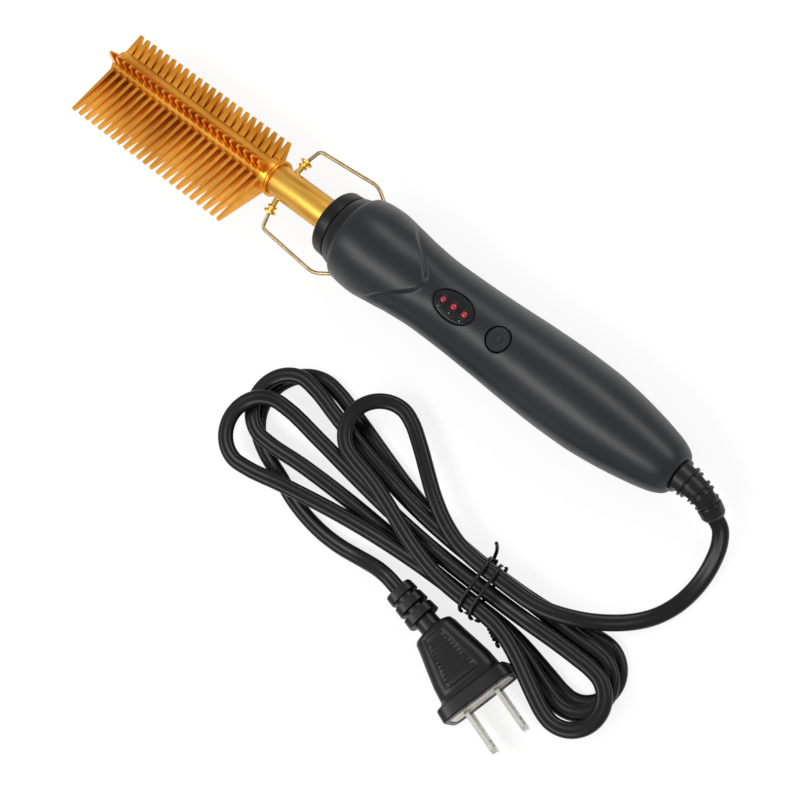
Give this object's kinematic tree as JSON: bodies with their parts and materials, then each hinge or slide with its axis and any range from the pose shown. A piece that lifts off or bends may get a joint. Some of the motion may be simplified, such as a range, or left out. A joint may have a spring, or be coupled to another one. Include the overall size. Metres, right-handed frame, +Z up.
{
  "type": "hot comb",
  "caption": "Electric hot comb with a round black handle, gold heated comb with fine teeth, wire guards, press button, lamps and a bundled cord with a plug.",
  "frame": {"origin": "on the table plane, under the middle of the object without its cord", "axes": "+X along the device from the handle towards the comb, +Y towards the long row of teeth, +Z up with the button on top"},
  "size_m": [0.2999, 0.1321, 0.0342],
  "materials": {
    "comb_gold": "gold anodised, satin",
    "barrel_gold": "gold anodised, brushed round",
    "post_gold": "polished",
    "wire_bronze": "drawn wire, bronze plated",
    "nose_black": "fine matte",
    "handle_black": "soft-touch matte",
    "window_black": "smoked gloss",
    "button_black": "matte with an engraved ring",
    "led_red": "clear red",
    "plunger_white": "moulded",
    "chip_black": "moulded",
    "board_green": "solder mask",
    "capacitor_blue": "printed sleeve, bare",
    "lead_brown": "insulated lead",
    "lead_red": "insulated lead",
    "ceramic": "fired ceramic",
    "mica": "mica and moulded mineral",
    "screw_steel": "zinc plated",
    "cord_black": "soft PVC",
    "tie_black": "plastic-coated wire",
    "plug_black": "moulded PVC",
    "plug_insert": "moulded",
    "blade_nickel": "nickel plated brass"
  },
  "bodies": {
    "root": {"comb_head": "comb_gold", "comb_end_plug": "comb_gold", "collar_ring": "barrel_gold", "barrel": "barrel_gold", "heater_rod": "ceramic", "heater_sleeve": "mica", "heater_leads": "lead_red", "thermistor": "ceramic", "heat_bush": "mica", "guard_post_left": "post_gold", "guard_post_right": "post_gold", "guard_wire_left": "wire_bronze", "guard_wire_right": "wire_bronze", "nose_cap": "nose_black", "front_collar": "nose_black", "handle_upper": "handle_black", "handle_lower": "handle_black", "handle_screws": "screw_steel", "indicator_window": "window_black", "led_low": "led_red", "led_mid": "led_red", "led_high": "led_red", "tact_switch": "chip_black", "circuit_board": "board_green", "control_chip": "chip_black", "capacitor": "capacitor_blue", "triac": "chip_black", "mains_leads": "lead_brown", "strain_relief": "cord_black", "power_cord": "cord_black", "cord_hank": "cord_black", "cord_tail": "cord_black", "cord_tie": "tie_black", "plug_body": "plug_black", "plug_face": "plug_insert", "plug_blades": "blade_nickel"},
    "button": {"power_button": "button_black", "switch_plunger": "plunger_white"}
  },
  "joints": [
    {"name": "button_press", "type": "slide", "parent": "root", "child": "button", "axis": [0, 0, -1], "range_m": [0, 0.0005], "stiffness_N_per_m": 2000}
  ]
}
